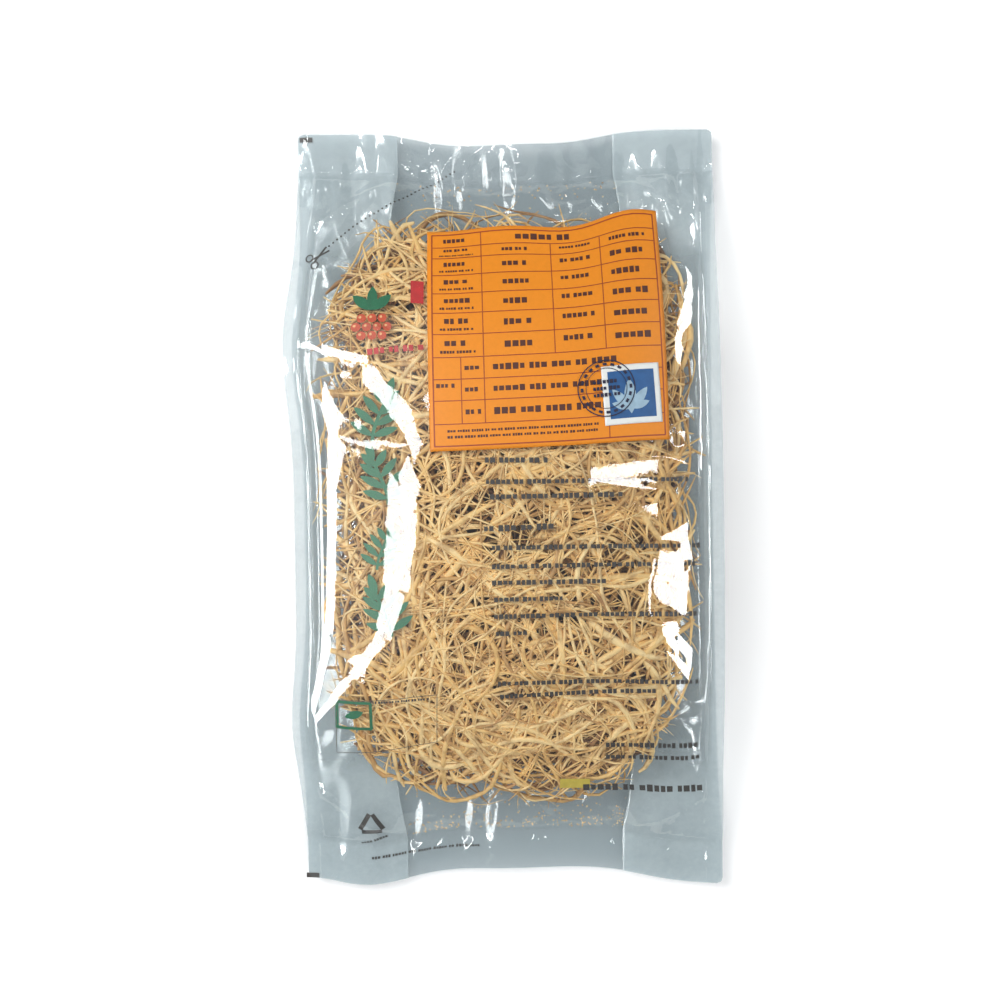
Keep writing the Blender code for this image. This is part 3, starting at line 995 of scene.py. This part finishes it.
def print_marks(name, marks, to_film, height, colour, slot):
    """One mesh of flat marks, sliced on a grid and laid on the paper or the film."""
    points, faces = [], []
    for mark in marks:
        faces.append(tuple(range(len(points), len(points) + len(mark))))
        points += [(a, b, 0.0) for a, b in mark]
    mesh = bpy.data.meshes.new(name)
    mesh.from_pydata(points, [], faces)
    piece = add_object(name, mesh)
    slices = bmesh.new()
    slices.from_mesh(mesh)
    flat = np.array(points)
    for axis in (0, 1):
        normal = (1, 0, 0) if axis == 0 else (0, 1, 0)
        low, high = flat[:, axis].min(), flat[:, axis].max()
        for cut in np.arange(low + SLICE, high, SLICE):
            where = tuple(cut * c for c in normal)
            geometry = slices.verts[:] + slices.edges[:] + slices.faces[:]
            bmesh.ops.bisect_plane(slices, geom=geometry, plane_co=where, plane_no=normal)
    slices.to_mesh(mesh)
    slices.free()
    u, v = corners_of(mesh)[:, :2].T
    x, s = to_film(u, v)
    if slot == "film":
        move_corners(piece, place(x, s, front_surface(x, s) + height))
    else:
        move_corners(piece, on_front(x, s, height))
    dress(piece, ink(name + "_ink", colour))
    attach(piece, "root")
    print(name, len(marks), "marks,", len(mesh.polygons), "faces")


def ink(name, colour):
    """Printing ink: a flat colour that is a little uneven, as ink on film is."""
    material = start_material(name)
    patchy = object_noise(material, 240.0, detail=2.0)
    tone = ramp(material, patchy, [(0.3, tuple(c * 0.8 for c in colour)), (0.65, colour)])
    return solid_finish(material, tone, roughness=0.5, specular=0.2)


def by_place(x, s):
    return x, s


# %% The label's printed grid
LINE = 0.00042
MARK_GAP = LABEL_GAP + 0.0001
RULE_INK, BLOCK_INK = (0.35, 0.06, 0.02), (0.09, 0.03, 0.02)
LABEL_ROWS = [
    0.0528, 0.0458, 0.0398, 0.0306, 0.0210, 0.0110, 0.0004, -0.0108, -0.0213, -0.0315, -0.0425,
]
COLUMN_A, COLUMN_B, COLUMN_C = -0.0290, 0.0030, 0.0260
NARROW_COLUMN = -0.0393


def rule(u0, v0, u1, v1):
    return stroke([(u0, v0), (u1, v1)], LINE)


half_u, half_v = LABEL_SIZE[0] / 2 - 0.0022, LABEL_SIZE[1] / 2 - 0.0022
label_rules = frame_box(0, 0, 2 * half_u, 2 * half_v, line=0.0006)
for v in LABEL_ROWS[1:]:
    label_rules += rule(-half_u, v, half_u, v)
for u, first_row in ((COLUMN_A, 0), (COLUMN_B, 1), (COLUMN_C, 1)):
    label_rules += rule(u, LABEL_ROWS[first_row], u, LABEL_ROWS[7])
for u in (NARROW_COLUMN, COLUMN_A):
    label_rules += rule(u, LABEL_ROWS[7], u, LABEL_ROWS[10])
label_rules += rule(COLUMN_C, LABEL_ROWS[10], COLUMN_C, -half_v)
print_marks("label_rules", label_rules, on_label, MARK_GAP, RULE_INK, "label_paper")


# %% The label's rows of small blocks
def blocks(start, end, height):
    """A line of small blocks from one point to another, in groups of two to five."""
    start, end = np.array(start), np.array(end)
    length = np.hypot(*(end - start))
    along = (end - start) / length
    turn = math.atan2(along[1], along[0])
    marks, at = [], 0.0
    while at < length - 0.6 * height:
        for _ in range(rng.integers(2, 6)):
            wide = height * rng.uniform(0.55, 0.85)
            tall = height * rng.uniform(0.70, 1.0)
            if at + wide > length:
                break
            marks += bar(*(start + along * (at + wide / 2)), wide, tall, turn)
            at += wide + 0.22 * height
        at += 0.5 * height
    return marks


def centred(u, v, width, height):
    """A line of blocks about its middle."""
    return blocks((u - width / 2, v), (u + width / 2, v), height)


title_row = (LABEL_ROWS[0] + LABEL_ROWS[1]) / 2
label_bars = centred(0.0, title_row, 0.026, 0.0036) + centred(-0.0405, title_row, 0.012, 0.0022)
row_pairs = list(zip(LABEL_ROWS[:-1], LABEL_ROWS[1:]))
for top, bottom in row_pairs[1:7]:
    middle, tall = (top + bottom) / 2, top - bottom
    label_bars += centred((-half_u + COLUMN_A) / 2, middle + 0.0012, 0.012, tall * 0.26)
    label_bars += centred((-half_u + COLUMN_A) / 2, middle - tall * 0.27, 0.016, tall * 0.13)
    label_bars += centred((COLUMN_A + COLUMN_B) / 2, middle, 0.013, tall * 0.30)
    label_bars += centred((COLUMN_B + COLUMN_C) / 2, middle + tall * 0.12, 0.015, tall * 0.24)
    label_bars += centred((COLUMN_C + half_u) / 2, middle, 0.017, tall * 0.32)
for top, bottom in row_pairs[7:10]:
    middle, tall = (top + bottom) / 2, top - bottom
    label_bars += centred(-0.0342, middle, 0.007, tall * 0.22)
    label_bars += centred(0.004, middle, 0.058, tall * 0.30)
label_bars += centred(-0.0455, row_pairs[8][0] - 0.003, 0.010, 0.0022)
for v in (0.0070, 0.0042):
    label_bars += centred(-0.012, -half_v + v, 0.068, 0.0013)
print_marks("label_bars", label_bars, on_label, MARK_GAP, BLOCK_INK, "label_paper")

# %% The stamp's picture and its cancelling mark
STAMP_BLUE, STAMP_PALE, CANCEL_INK = (0.020, 0.105, 0.29), (0.34, 0.50, 0.62), (0.02, 0.02, 0.05)
CANCEL = (-0.0115, 0.0035)
stamp_ground = bar(0.0, 0.0, 0.0212, 0.0216)
print_marks("stamp_ground", stamp_ground, on_stamp, STAMP_GAP + 0.0001, STAMP_BLUE, "stamp_paper")
stamp_picture = leaf(-0.001, -0.009, 0.016, 0.0055, math.radians(90))
for turn in (50, 130):
    stamp_picture += leaf(-0.001, -0.007, 0.0125, 0.0042, math.radians(turn))
for turn in (18, 162):
    stamp_picture += leaf(-0.001, -0.0065, 0.0090, 0.0034, math.radians(turn))
print_marks("stamp_picture", stamp_picture, on_stamp, STAMP_GAP + 0.0002, STAMP_PALE, "stamp_paper")
cancel = ring(*CANCEL, 0.0128, 0.0005) + ring(*CANCEL, 0.0092, 0.0003)
for n, (u, v) in enumerate(disc(*CANCEL, 0.011, 20)[0]):
    cancel += bar(u, v, 0.0018, 0.0012, 2 * math.pi * n / 20 + math.pi / 2)
for v in (0.0065, 0.0035, 0.0005):
    cancel += centred(CANCEL[0], v, 0.012, 0.0018)
print_marks("stamp_cancelling", cancel, on_stamp, STAMP_GAP + 0.0004, CANCEL_INK, "stamp_paper")

# %% Dark marks on the film, placed by pixel
INK_GAP = -0.0003
DARK_INK, GREEN_INK, BERRY_INK = (0.055, 0.045, 0.04), (0.003, 0.145, 0.055), (0.62, 0.07, 0.010)
BERRY_LIGHT, RED_INK, YELLOW_INK = (0.95, 0.50, 0.22), (0.60, 0.02, 0.02), (0.66, 0.50, 0.07)
FRAME_INK = (0.12, 0.10, 0.08)
CUT_LINE_PIXELS = [(329, 246), (352, 228), (380, 211), (410, 196), (440, 181), (455, 172)]
GREEN_MOTIF_PIXELS = [(380, 420), (380, 483), (383, 553), (383, 616)]
BERRY_PIXEL = (372, 312)
EYE_MARK_PIXELS = [(306, 140), (313, 875)]
TRIANGLE_PIXEL = (372, 824)


def along(points, spacing):
    """Points at an even spacing along a line of points."""
    found, left = [], 0.0
    for (x0, y0), (x1, y1) in zip(points, points[1:]):
        length = math.hypot(x1 - x0, y1 - y0)
        at = left
        while at < length:
            found.append((x0 + (x1 - x0) * at / length, y0 + (y1 - y0) * at / length))
            at += spacing
        left = at - length
    return found


cut_line = [on_film(px, py) for px, py in CUT_LINE_PIXELS]
dark_marks = []
for x, s in along(cut_line, 0.00235):
    dark_marks += disc(x, s, 0.0005, 8)
scissors = np.array(on_film(319, 256))
for side in (-1, 1):
    turn = math.radians(40 + side * 14)
    handle = scissors - 0.0042 * np.array([math.cos(turn), math.sin(turn)])
    tip = scissors + 0.0052 * np.array([math.cos(turn), math.sin(turn)])
    dark_marks += ring(*(handle + side * np.array([0.0008, -0.0011])), 0.0017, 0.0006, 16)
    dark_marks += stroke([tuple(handle), tuple(tip)], 0.0009)
for px, py in EYE_MARK_PIXELS:
    dark_marks += bar(*on_film(px, py), 0.0062, 0.0024)
triangle = on_film(*TRIANGLE_PIXEL)
turns = [math.radians(90 + 120 * k) for k in range(4)]
peaks = [np.array(triangle) + 0.0072 * np.array([math.cos(a), math.sin(a)]) for a in turns]
for start, end in zip(peaks, peaks[1:]):
    run = end - start
    dark_marks += stroke([tuple(start + 0.14 * run), tuple(start + 0.86 * run)], 0.0022)

# %% Lines of blocks on the film: first pixel, last pixel and height in pixels
BLOCK_LINES = [
    ((485, 460), (552, 460), 9), ((486, 482), (690, 479), 8), ((490, 497), (625, 494), 9),
    ((484, 529), (556, 526), 10), ((492, 548), (700, 545), 8), ((492, 567), (700, 563), 8),
    ((492, 583), (610, 581), 8), ((494, 600), (570, 598), 8), ((494, 617), (700, 613), 8),
    ((496, 634), (528, 633), 8), ((498, 684), (702, 681), 8), ((500, 697), (662, 691), 8),
    ((606, 745), (700, 744), 9), ((606, 757), (702, 756), 8), ((583, 787), (702, 787), 12),
    ((372, 858), (480, 845), 5), ((362, 842), (388, 835), 5), ((370, 703), (430, 699), 4),
]


def block_line(first, last, height_pixels):
    """Blocks from one pixel to another, lower than the line that they stand in."""
    return blocks(on_film(*first), on_film(*last), 0.62 * height_pixels / PIXELS_PER_METRE)


for first, last, height_pixels in BLOCK_LINES:
    dark_marks += block_line(first, last, height_pixels)
print_marks("film_dark_print", dark_marks, by_place, INK_GAP, DARK_INK, "film")

# %% The green leaf motifs, the berry sprig and the small frames
green_marks = []


def sprig(x, s, height, side):
    """A curved stem with a leaf at its tip and four pairs of leaves along it."""
    curl = [side * 0.12 * height * math.cos(2.4 * k / 8) for k in range(9)]
    stem = [(x + curl[k], s + height * (k / 8 - 0.5) * 0.62) for k in range(9)]
    marks = stroke(stem, 0.055 * height)
    marks += leaf(*stem[-1], 0.34 * height, 0.13 * height, math.radians(90 + side * 20))
    for k, size in ((1, 0.40), (3, 0.42), (5, 0.38), (7, 0.30)):
        for hand in (-1, 1):
            turn = math.radians(90 - hand * (68 - 4 * k) + side * 8)
            marks += leaf(*stem[k], size * height, 0.12 * height, turn)
    return marks


for n, (px, py) in enumerate(GREEN_MOTIF_PIXELS):
    green_marks += sprig(*on_film(px, py), 0.031 if n != 2 else 0.024, 1 if n % 2 else -1)
berry = on_film(*BERRY_PIXEL)
for turn in (40, 90, 140):
    green_marks += leaf(berry[0], berry[1] + 0.001, 0.0115, 0.0048, math.radians(turn))
small_frame = on_film(354, 716)
green_marks += frame_box(*small_frame, 0.0145, 0.0125, 0.0014)
green_marks += leaf(small_frame[0] - 0.004, small_frame[1] - 0.001, 0.0085, 0.0040, math.radians(20))
print_marks("film_green_print", green_marks, by_place, INK_GAP, GREEN_INK, "film")

red_marks = []
for row, berries in enumerate((3, 4, 3)):
    for k in range(berries):
        across = (k - (berries - 1) / 2) * 0.0047
        red_marks += disc(berry[0] + across, berry[1] - 0.0028 - 0.0041 * row, 0.0021)
print_marks("film_berries", red_marks, by_place, INK_GAP, BERRY_INK, "film")
berry_lights = []
for mark in red_marks:
    across, down = np.mean(mark, axis=0)
    berry_lights += disc(across - 0.0006, down + 0.0006, 0.00065, 8)
print_marks("film_berry_lights", berry_lights, by_place, INK_GAP + 0.00005, BERRY_LIGHT, "film")
bright_bars = block_line((367, 352), (424, 347), 10) + bar(*on_film(417, 292), 0.006, 0.011)
print_marks("film_red_print", bright_bars, by_place, INK_GAP, RED_INK, "film")
yellow_marks = bar(*on_film(575, 783), 0.014, 0.005)
print_marks("film_yellow_print", yellow_marks, by_place, INK_GAP, YELLOW_INK, "film")
thin_frame_pixels = [(337, 752), (337, 700), (437, 695), (437, 742)]
thin_frame = stroke([on_film(*pixel) for pixel in thin_frame_pixels], 0.0003, True)
print_marks("film_frame", thin_frame, by_place, INK_GAP, FRAME_INK, "film")

# %% [markdown]
# ## The studio
#
# The photograph is a product shot on white. A pale floor, which glows a little to stay
# white, takes the bag's shadow. A dim world fills it, and three soft lamps that the film
# doesn't mirror light the roots.
#
# What the film does mirror makes it look like film. Wide lamps put a pale veil on it,
# and each bright band is a row of small lamps. They could be moved about until they
# show in the right place, but a mirror's law says where to hang them: the line of sight
# to a pixel is turned about the film's normal there, and followed to the lamp.


# %% Floor
FLOOR_GLOW = 0.13


def build_floor():
    deselect_all()
    bpy.ops.mesh.primitive_grid_add(x_subdivisions=8, y_subdivisions=8, size=6.0)
    floor = bpy.context.object
    floor.name = "floor"
    glow = {"Emission Color": (1, 1, 1, 1), "Emission Strength": FLOOR_GLOW}
    white = (0.95, 0.95, 0.95, 1)
    floor_white = start_material("floor_white")
    dress(floor, solid_finish(floor_white, white, roughness=0.9, specular=0.5, **glow))


build_floor()


# %% Wide lamps
BED_MIDDLE = Vector((0, 0, 0.03))


def soft_lamp(name, place_at, size, watts, shows=True, lights=True):
    """A lamp turned to the bed. Shows is whether films mirror it, lights whether it gives light."""
    lamp = bpy.data.lights.new(name, "AREA")
    lamp.shape = "RECTANGLE"
    lamp.size, lamp.size_y = size
    lamp.energy = watts
    holder = add_object(name, lamp)
    holder.location = place_at
    holder.rotation_euler = (BED_MIDDLE - Vector(place_at)).to_track_quat("-Z", "Y").to_euler()
    holder.visible_glossy, holder.visible_diffuse = shows, lights
    return holder


# Name, place, size and watts.
VEILS = [
    ("strip_left_low", (-1.20, 0.0, 0.40), (0.9, 0.10), 5),
    ("veil_left", (-0.95, 0.1, 0.95), (1.6, 0.9), 4.5),
    ("veil_top", (-0.15, 0.75, 1.3), (1.2, 1.0), 3.5),
]
ROOT_LAMPS = [
    ("key", (-0.75, 0.55, 1.1), (0.7, 0.7), 13),
    ("overhead", (0.15, 0.0, 1.5), (1.1, 1.1), 5.5),
    ("fill_low", (0.6, -0.9, 0.9), (0.9, 0.9), 5),
]
for row in VEILS:
    soft_lamp(*row, lights=False)
for row in ROOT_LAMPS:
    soft_lamp(*row, shows=False)


# %% Lamps placed by their reflections
LAMP_REACH = 1.2
GLARE_RADIANCE = 26
OVERLAP = 1.05


def mirrored(px, py, surface=front_height, step=NORMAL_STEP):
    """Where a lamp has to hang for the film to mirror it at a pixel."""
    x, s = on_film(px, py)
    at = Vector(on_front(x, s, 0.0, surface, step))
    normal = (Vector(on_front(x, s, 1.0, surface, step)) - at).normalized()
    sight = (camera.location - at).normalized()
    return at + LAMP_REACH * (2 * normal.dot(sight) * normal - sight)


def glare(name, start, end, width):
    """A lamp whose reflection is a band between two pixels, as many pixels wide as given."""
    run = np.subtract(end, start)
    side = np.array([-run[1], run[0]]) / np.hypot(*run) * width / 2
    middle = np.add(start, end) / 2
    reach = mirrored(*end) - mirrored(*start)
    centre = mirrored(*middle)
    along = reach.normalized()
    back = centre - BED_MIDDLE
    back = (back - back.dot(along) * along).normalized()
    across = back.cross(along)
    breadth = abs((mirrored(*(middle + side)) - mirrored(*(middle - side))).dot(across))
    size = (OVERLAP * reach.length, breadth)
    watts = GLARE_RADIANCE * math.pi * size[0] * size[1]
    holder = soft_lamp(name, centre, size, watts, lights=False)
    holder.matrix_world = Matrix.Translation(centre) @ Matrix((along, across, back)).transposed().to_4x4()
    print(name, "at", [round(c, 2) for c in centre], "size", [round(c, 3) for c in size])


# Each band is a row of points: a pixel, and the band's width there in pixels.
GLARE_BANDS = {
    "glare_left_upper": [
        (300, 346, 4), (320, 347, 6), (340, 355, 9), (368, 374, 15), (392, 401, 19),
        (410, 426, 19), (420, 452, 12),
    ],
    "glare_left_lower": [
        (414, 468, 16), (403, 498, 34), (399, 545, 30), (395, 590, 24), (383, 635, 15), (364, 662, 11),
        (345, 684, 9), (329, 704, 8), (314, 721, 6),
    ],
    "glare_left_edge": [
        (322, 392, 10), (336, 430, 20), (331, 480, 9), (331, 560, 9), (329, 630, 9),
        (321, 672, 8), (312, 712, 5),
    ],
    "glare_left_cross": [(352, 441, 5), (414, 445, 6)],
    "glare_right_upper": [(690, 292, 4), (681, 325, 20), (673, 360, 14)],
    "glare_right_line": [(699, 290, 1.6), (701, 440, 1.6)],
    "glare_right_stripe": [(650, 443, 5), (688, 449, 9)],
    "glare_right_middle": [(595, 476, 14), (657, 480, 19)],
    "glare_right_patch": [(690, 546, 12), (677, 572, 34), (672, 597, 26)],
    "glare_right_lower": [(656, 620, 10), (675, 640, 18), (692, 668, 8)],
    "glare_right_curl": [(652, 575, 3), (648, 615, 3)],
}
for name, band in GLARE_BANDS.items():
    for n, ((ax, ay, aw), (bx, by, bw)) in enumerate(zip(band, band[1:])):
        glare(f"{name}_{n}", (ax, ay), (bx, by), (aw + bw) / 2)

# %% Small lamps that sparkle in the ripples of the seals
GLINT_PIXELS = [(429, 154), (488, 153), (516, 154), (568, 196), (635, 164), (389, 187)]
GLINT_LAMP = 0.075
GLINT_RADIANCE = 22
GLINT_STEP = 0.0012
glint_watts = GLINT_RADIANCE * math.pi * GLINT_LAMP**2
for n, (px, py) in enumerate(GLINT_PIXELS):
    hung = mirrored(px, py, front_surface, GLINT_STEP)
    soft_lamp(f"glint_{n}", hung, (GLINT_LAMP, GLINT_LAMP), glint_watts, lights=False)
    print("glint", n, "at", [round(c, 2) for c in hung])

# %% The dim sky
world = bpy.data.worlds.new("studio")
world.use_nodes = True
sky = world.node_tree.nodes["Background"]
sky.inputs["Color"].default_value = (0.93, 0.96, 1.0, 1)
sky.inputs["Strength"].default_value = 0.28
bpy.context.scene.world = world
bpy.context.scene.view_settings.view_transform = "Standard"

# %% [markdown]
# ## Sizes
#
# The dressed model has to stay in the part's own box, apart from a few millimetres that
# soft film may stand proud.
